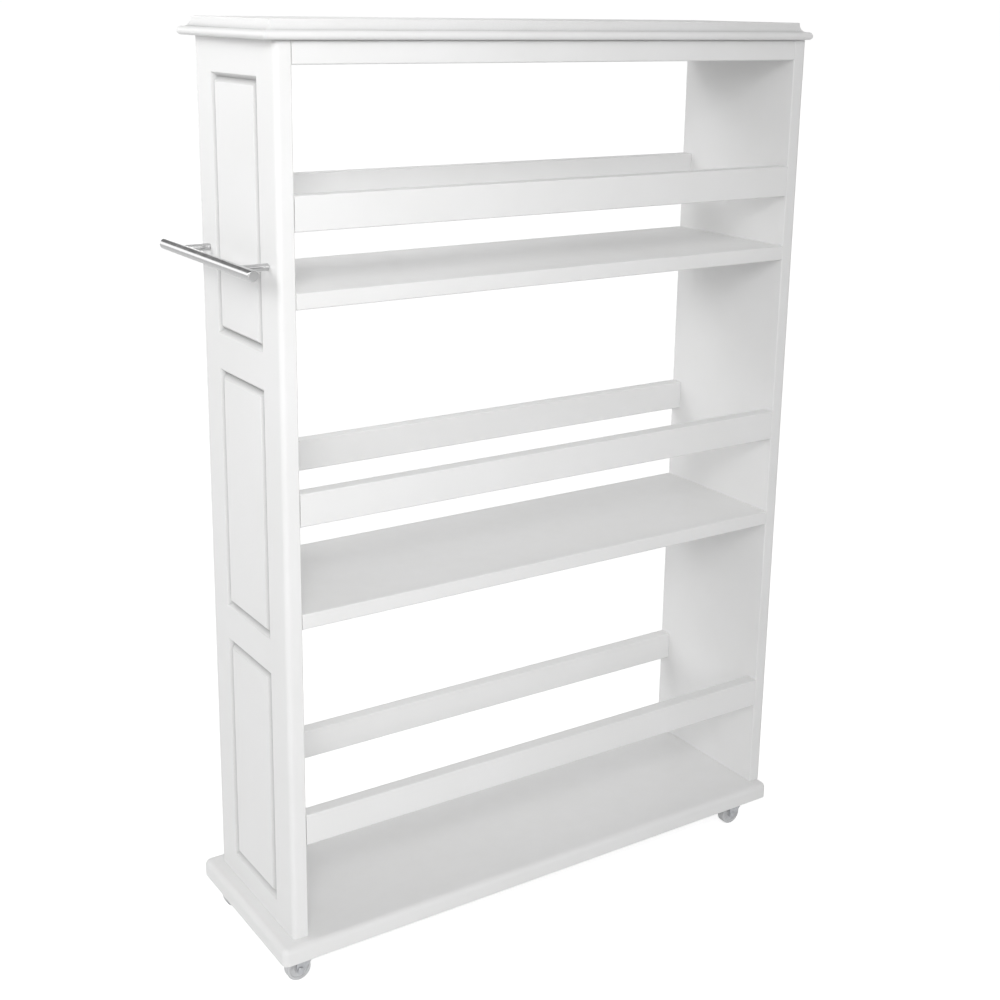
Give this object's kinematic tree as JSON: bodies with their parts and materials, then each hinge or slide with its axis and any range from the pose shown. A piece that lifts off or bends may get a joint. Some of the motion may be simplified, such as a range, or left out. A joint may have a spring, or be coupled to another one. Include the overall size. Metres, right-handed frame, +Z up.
{
  "type": "rolling pantry cart",
  "caption": "Slim upright shelf cart with open sides, guard rails above each shelf, a moulded cap and base board, a bar handle on one end and swivel casters underneath.",
  "frame": {"origin": "on the floor under the centre of the object's bounding box, handle included", "axes": "+X along the cart, from the handle end to the plain end; +Y from the front long side to the back one; +Z up"},
  "size_m": [0.635, 0.2, 0.9076],
  "materials": {
    "white_paint": "satin white paint over fibreboard",
    "handle_steel": "brushed",
    "zinc_plate": "bright zinc plating",
    "cast_zinc": "dull die-cast zinc",
    "grey_nylon": "matte",
    "beech": "raw"
  },
  "bodies": {
    "cart": {"base_board": "white_paint", "cap_board": "white_paint", "left_end_panel": "white_paint", "right_end_panel": "white_paint", "middle_shelf": "white_paint", "upper_shelf": "white_paint", "lower_front_rail": "white_paint", "lower_back_rail": "white_paint", "middle_front_rail": "white_paint", "middle_back_rail": "white_paint", "upper_front_rail": "white_paint", "upper_back_rail": "white_paint", "top_front_rail": "white_paint", "top_back_rail": "white_paint", "handle_bar": "handle_steel", "handle_post_front": "handle_steel", "handle_screw_front": "zinc_plate", "handle_post_back": "handle_steel", "handle_screw_back": "zinc_plate", "base_screw_front_left": "zinc_plate", "cap_dowel_front_left": "beech", "base_screw_front_right": "zinc_plate", "cap_dowel_front_right": "beech", "base_screw_back_left": "zinc_plate", "cap_dowel_back_left": "beech", "base_screw_back_right": "zinc_plate", "cap_dowel_back_right": "beech", "middle_shelf_dowel_left": "beech", "middle_shelf_cam_bolt_left": "zinc_plate", "middle_shelf_cam_left": "cast_zinc", "middle_shelf_dowel_right": "beech", "middle_shelf_cam_bolt_right": "zinc_plate", "middle_shelf_cam_right": "cast_zinc", "upper_shelf_dowel_left": "beech", "upper_shelf_cam_bolt_left": "zinc_plate", "upper_shelf_cam_left": "cast_zinc", "upper_shelf_dowel_right": "beech", "upper_shelf_cam_bolt_right": "zinc_plate", "upper_shelf_cam_right": "cast_zinc", "caster_plate_front_left": "zinc_plate", "caster_pin_front_left": "zinc_plate", "caster_plate_front_right": "zinc_plate", "caster_pin_front_right": "zinc_plate", "caster_plate_back_left": "zinc_plate", "caster_pin_back_left": "zinc_plate", "caster_plate_back_right": "zinc_plate", "caster_pin_back_right": "zinc_plate"},
    "swivel_front_left": {"caster_fork_front_left": "zinc_plate", "caster_axle_front_left": "zinc_plate"},
    "wheel_front_left": {"caster_wheel_front_left": "grey_nylon"},
    "swivel_front_right": {"caster_fork_front_right": "zinc_plate", "caster_axle_front_right": "zinc_plate"},
    "wheel_front_right": {"caster_wheel_front_right": "grey_nylon"},
    "swivel_back_left": {"caster_fork_back_left": "zinc_plate", "caster_axle_back_left": "zinc_plate"},
    "wheel_back_left": {"caster_wheel_back_left": "grey_nylon"},
    "swivel_back_right": {"caster_fork_back_right": "zinc_plate", "caster_axle_back_right": "zinc_plate"},
    "wheel_back_right": {"caster_wheel_back_right": "grey_nylon"}
  },
  "joints": [
    {"name": "swivel_turn_front_left", "type": "hinge", "parent": "cart", "child": "swivel_front_left", "pos_m": [-0.268, -0.074, 0.0265], "axis": [0, 0, 1], "continuous": true},
    {"name": "wheel_roll_front_left", "type": "hinge", "parent": "swivel_front_left", "child": "wheel_front_left", "pos_m": [-0.274, -0.074, 0.0125], "axis": [0, 1, 0], "continuous": true},
    {"name": "swivel_turn_front_right", "type": "hinge", "parent": "cart", "child": "swivel_front_right", "pos_m": [0.287, -0.074, 0.0265], "axis": [0, 0, 1], "continuous": true},
    {"name": "wheel_roll_front_right", "type": "hinge", "parent": "swivel_front_right", "child": "wheel_front_right", "pos_m": [0.281, -0.074, 0.0125], "axis": [0, 1, 0], "continuous": true},
    {"name": "swivel_turn_back_left", "type": "hinge", "parent": "cart", "child": "swivel_back_left", "pos_m": [-0.268, 0.074, 0.0265], "axis": [0, 0, 1], "continuous": true},
    {"name": "wheel_roll_back_left", "type": "hinge", "parent": "swivel_back_left", "child": "wheel_back_left", "pos_m": [-0.274, 0.074, 0.0125], "axis": [0, 1, 0], "continuous": true},
    {"name": "swivel_turn_back_right", "type": "hinge", "parent": "cart", "child": "swivel_back_right", "pos_m": [0.287, 0.074, 0.0265], "axis": [0, 0, 1], "continuous": true},
    {"name": "wheel_roll_back_right", "type": "hinge", "parent": "swivel_back_right", "child": "wheel_back_right", "pos_m": [0.281, 0.074, 0.0125], "axis": [0, 1, 0], "continuous": true}
  ]
}
